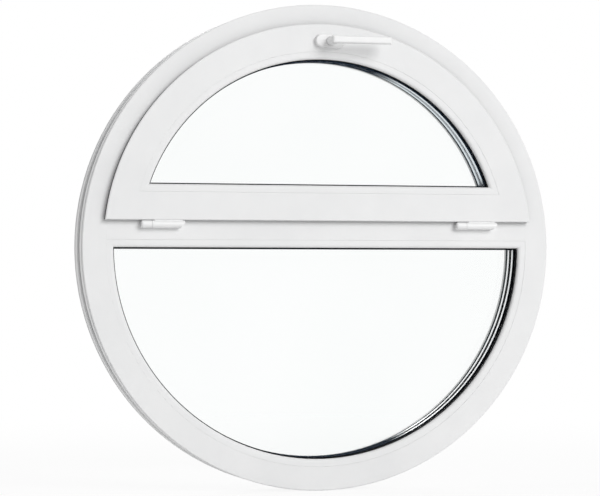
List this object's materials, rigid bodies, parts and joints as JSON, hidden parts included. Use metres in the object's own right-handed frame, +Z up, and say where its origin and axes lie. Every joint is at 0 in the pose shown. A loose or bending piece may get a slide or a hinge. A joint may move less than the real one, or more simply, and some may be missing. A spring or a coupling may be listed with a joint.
{
  "type": "round window",
  "caption": "Round white window with a fixed half-round light under a transom and a bottom-hung half-round sash above it, opened by a lever handle at the top",
  "frame": {"origin": "centre of the round frame, halfway through its depth", "axes": "+X right as seen from the room, +Z up, +Y from the room to the outside"},
  "size_m": [1, 0.153, 1],
  "materials": {
    "frame_white": "satin white plastic",
    "hardware_white": "white powder coat",
    "seal_black": "matt black rubber",
    "glass": "clear float glass",
    "spacer": "bright drawn aluminium",
    "steel": "zinc-plated steel",
    "block": "matt dark plastic"
  },
  "bodies": {
    "frame": {"outer_frame": "frame_white", "transom": "frame_white", "transom_steel": "steel", "transom_connectors": "steel", "transom_screws": "steel", "drain_caps": "frame_white", "stop_seal": "seal_black", "lower_inner_pane": "glass", "lower_middle_pane": "glass", "lower_outer_pane": "glass", "lower_inner_spacer": "spacer", "lower_outer_spacer": "spacer", "lower_edge_seal": "seal_black", "lower_outer_gasket": "seal_black", "lower_bead_gasket": "seal_black", "lower_arch_bead": "frame_white", "lower_straight_bead": "frame_white", "lower_blocks": "block", "left_frame_knuckle": "hardware_white", "right_frame_knuckle": "hardware_white", "left_hinge_pin": "steel", "right_hinge_pin": "steel", "left_keep": "steel", "right_keep": "steel", "left_stay_bracket": "steel", "right_stay_bracket": "steel"},
    "sash": {"sash_frame": "frame_white", "lap_seal": "seal_black", "upper_inner_pane": "glass", "upper_middle_pane": "glass", "upper_outer_pane": "glass", "upper_inner_spacer": "spacer", "upper_outer_spacer": "spacer", "upper_edge_seal": "seal_black", "upper_outer_gasket": "seal_black", "upper_bead_gasket": "seal_black", "upper_arch_bead": "frame_white", "upper_straight_bead": "frame_white", "upper_blocks": "block", "left_sash_knuckle": "hardware_white", "right_sash_knuckle": "hardware_white", "left_stay_plate": "steel", "right_stay_plate": "steel", "handle_base": "steel", "handle_cover": "hardware_white", "handle_screws": "steel", "gearbox_case": "steel", "gearbox_cover": "steel", "lock_faceplate": "steel"},
    "handle": {"handle_lever": "hardware_white", "handle_spindle": "steel", "lock_pinion": "steel"},
    "rod": {"drive_rod": "steel", "lock_cams": "steel"},
    "left_stay": {"left_stay_arm": "steel"},
    "right_stay": {"right_stay_arm": "steel"}
  },
  "joints": [
    {"name": "sash_tilt", "type": "hinge", "parent": "frame", "child": "sash", "pos_m": [0, -0.0498, 0.0458], "axis": [1, 0, 0], "range_deg": [0, 25]},
    {"name": "handle_turn", "type": "hinge", "parent": "sash", "child": "handle", "pos_m": [0.01295, -0.056, 0.4238], "axis": [0, 1, 0], "range_deg": [0, 90]},
    {"name": "rod_shift", "type": "hinge", "parent": "sash", "child": "rod", "pos_m": [0, -0.032, 0], "axis": [0, 1, 0], "range_deg": [0, 1.87]},
    {"name": "left_stay_turn", "type": "hinge", "parent": "frame", "child": "left_stay", "pos_m": [-0.43488, -0.032, 0.071], "axis": [1, 0, 0], "range_deg": [0, 42]},
    {"name": "right_stay_turn", "type": "hinge", "parent": "frame", "child": "right_stay", "pos_m": [0.43488, -0.032, 0.071], "axis": [1, 0, 0], "range_deg": [0, 42]}
  ],
  "couplings": [
    {"joint": "rod_shift", "follows": "handle_turn", "ratio": 0.020785},
    {"joint": "left_stay_turn", "follows": "sash_tilt", "ratio": 1.68},
    {"joint": "right_stay_turn", "follows": "sash_tilt", "ratio": 1.68}
  ]
}
